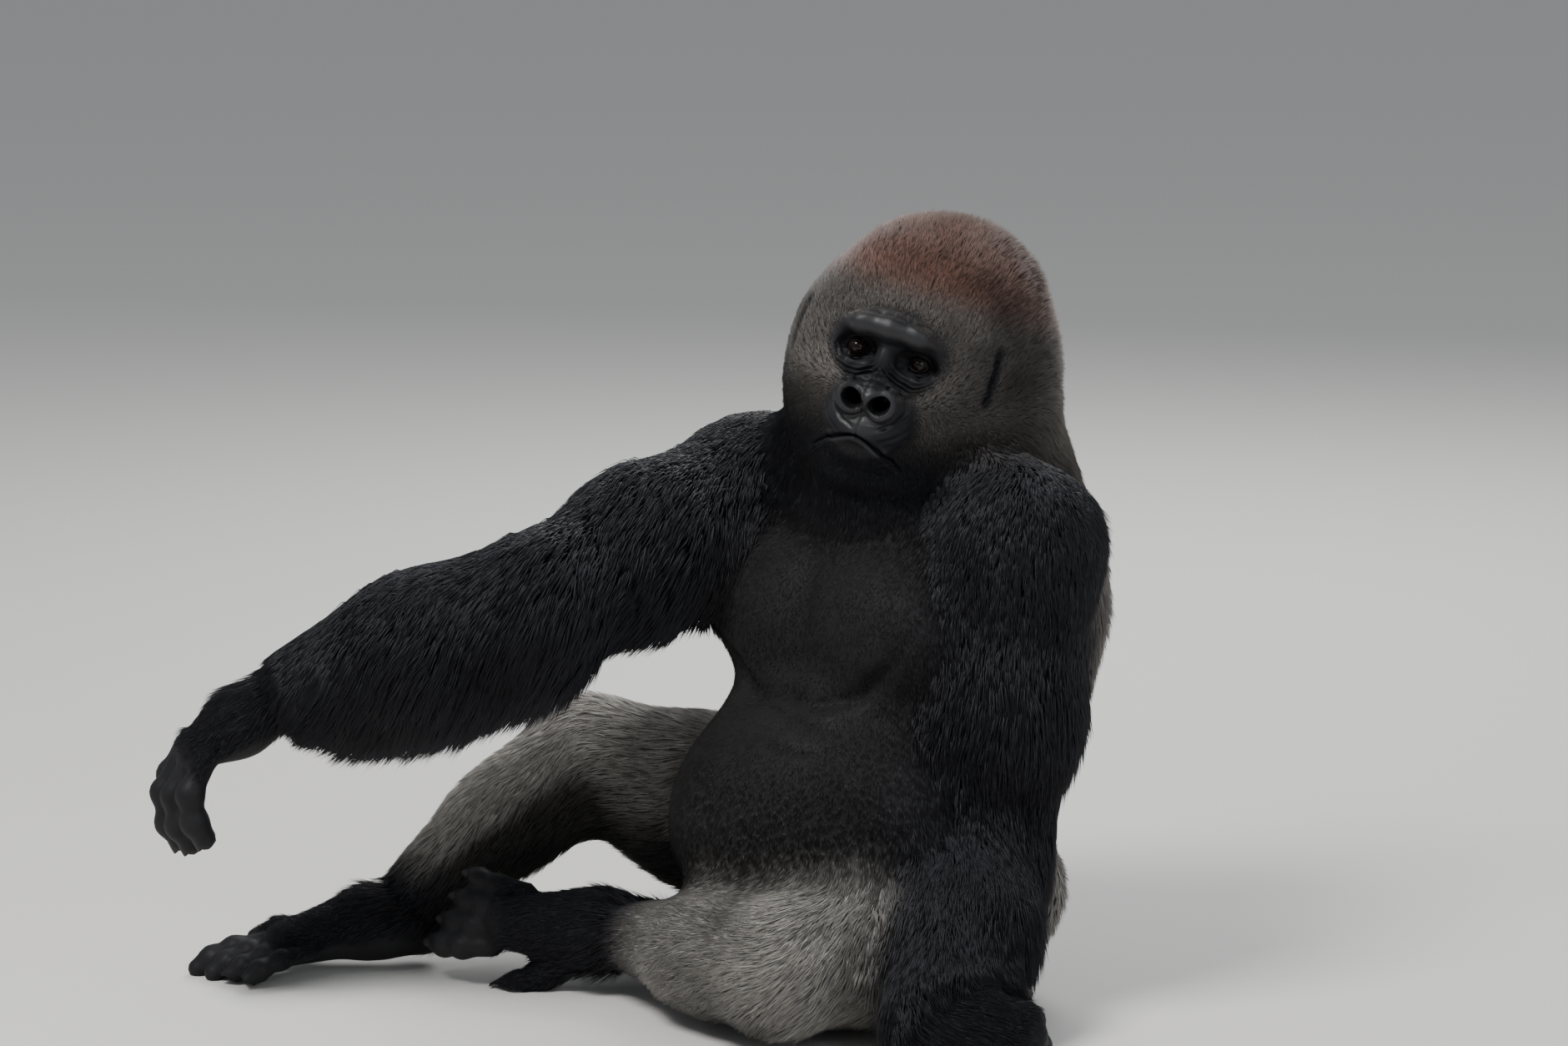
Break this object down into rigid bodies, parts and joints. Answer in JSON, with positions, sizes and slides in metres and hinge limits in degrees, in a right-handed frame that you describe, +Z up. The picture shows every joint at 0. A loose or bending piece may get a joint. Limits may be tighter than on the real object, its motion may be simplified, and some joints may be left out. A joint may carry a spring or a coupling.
{
  "type": "gorilla model",
  "caption": "Life-size still model of a seated adult male lowland gorilla, one arm reached out, the other propped on the ground, head turned.",
  "frame": {"origin": "on the floor, under the middle of the pelvis: the centre of the flat the animal sits on", "axes": "+Z up; the chest faces -Y; the animal's left side is +X"},
  "size_m": [1.1123, 1.0353, 0.9729],
  "materials": {
    "coat_black": "long matt hair, black with a blue sheen",
    "coat_brown": "short dense hair, brown over grey",
    "coat_silver": "short dense hair, silver grey",
    "skin_black": "bare black skin with a soft sheen",
    "eye_brown": "wet and glossy, very dark brown"
  },
  "bodies": {
    "root": {"head": "coat_brown", "neck": "coat_brown", "trunk": "coat_black", "upper_arm_l": "coat_black", "forearm_l": "coat_black", "hand_l": "skin_black", "thigh_l": "coat_silver", "shank_l": "coat_silver", "foot_l": "skin_black", "ear_l": "skin_black", "eye_l": "eye_brown", "upper_arm_r": "coat_black", "forearm_r": "coat_black", "hand_r": "skin_black", "thigh_r": "coat_silver", "shank_r": "coat_silver", "foot_r": "skin_black", "ear_r": "skin_black", "eye_r": "eye_brown"}
  },
  "joints": []
}
